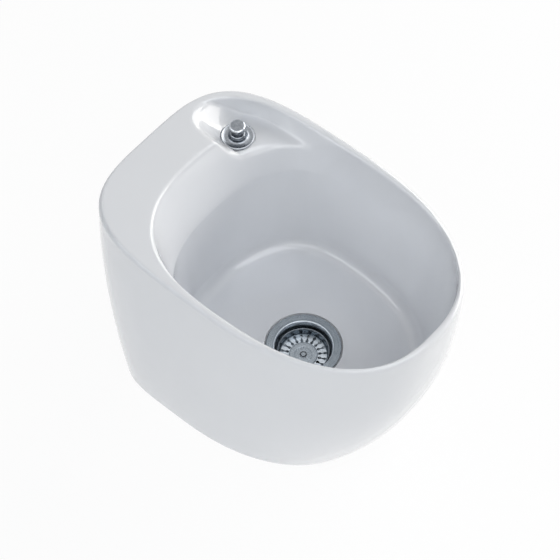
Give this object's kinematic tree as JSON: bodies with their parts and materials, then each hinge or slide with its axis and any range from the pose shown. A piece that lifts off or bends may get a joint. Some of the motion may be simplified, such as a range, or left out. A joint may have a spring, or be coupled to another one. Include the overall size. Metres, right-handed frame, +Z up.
{
  "type": "mop service sink",
  "caption": "Floor-standing glazed ceramic mop sink: deep oval bowl, rear deck with a sunken shelf for a pull knob, and a basket strainer waste lifted through a sheathed cable",
  "frame": {"origin": "centre of the bounding box's footprint, on the floor", "axes": "+Z up, +Y towards the wall behind the deck, +X to the right for someone who faces the wall, so the knob is at +X"},
  "size_m": [0.355, 0.5199, 0.355],
  "materials": {
    "glazed_ceramic": "smooth glossy white glaze",
    "brushed_steel": "brushed stainless steel",
    "chrome": "polished chrome plate",
    "black_rubber": "matt black rubber",
    "white_plastic": "moulded white plastic",
    "black_plastic": "moulded black plastic",
    "brass": "machined brass"
  },
  "bodies": {
    "sink": {"sink_body": "glazed_ceramic", "flange_gasket": "black_rubber", "drain_cup": "brushed_steel", "cup_gasket": "black_rubber", "cup_screw_1": "brushed_steel", "cup_screw_2": "brushed_steel", "cup_screw_3": "brushed_steel", "under_gasket": "black_rubber", "waste_body": "white_plastic", "tail_gasket": "black_rubber", "outlet_nut": "white_plastic", "tail_pipe": "white_plastic", "shaft_seal": "black_rubber", "shaft_gland": "brass", "cable_adjuster": "brass", "adjuster_nut_1": "brass", "adjuster_nut_2": "brass", "cable_sheath": "black_plastic", "cable_core": "brushed_steel", "knob_gasket": "black_rubber", "escutcheon": "chrome", "knob_guide": "chrome", "deck_washer": "black_rubber", "knob_nut": "brass", "sheath_socket": "brass"},
    "knob": {"knob_cap": "chrome", "knob_spindle": "brushed_steel", "knob_wire": "brushed_steel"},
    "pusher": {"lift_pin": "brushed_steel"},
    "basket": {"strainer_basket": "brushed_steel", "basket_cap": "brushed_steel", "strainer_plug": "black_plastic", "plug_seal": "black_rubber"},
    "lever": {"lift_lever": "black_plastic", "lever_shaft": "brushed_steel", "crank_arm": "brushed_steel", "crank_screw": "brushed_steel"},
    "wire": {"crank_wire": "brushed_steel", "wire_nipple": "brass"}
  },
  "joints": [
    {"name": "knob_lift", "type": "slide", "parent": "sink", "child": "knob", "axis": [0, 0, 1], "range_m": [0, 0.012]},
    {"name": "lever_turn", "type": "hinge", "parent": "sink", "child": "lever", "pos_m": [0, -0.0545, 0.044], "axis": [1, 0, 0], "range_deg": [0, 22.92]},
    {"name": "pin_lift", "type": "slide", "parent": "sink", "child": "pusher", "axis": [0, 0, 1], "range_m": [0, 0.0096]},
    {"name": "wire_pull", "type": "slide", "parent": "sink", "child": "wire", "axis": [0, 1, 0], "range_m": [0, 0.012]},
    {"name": "basket_out", "type": "slide", "parent": "pusher", "child": "basket", "axis": [0, 0, 1], "range_m": [0, 0.31]}
  ],
  "couplings": [
    {"joint": "lever_turn", "follows": "knob_lift", "rad_per_m": 33.333},
    {"joint": "pin_lift", "follows": "knob_lift", "ratio": 0.8},
    {"joint": "wire_pull", "follows": "knob_lift", "ratio": 1}
  ]
}
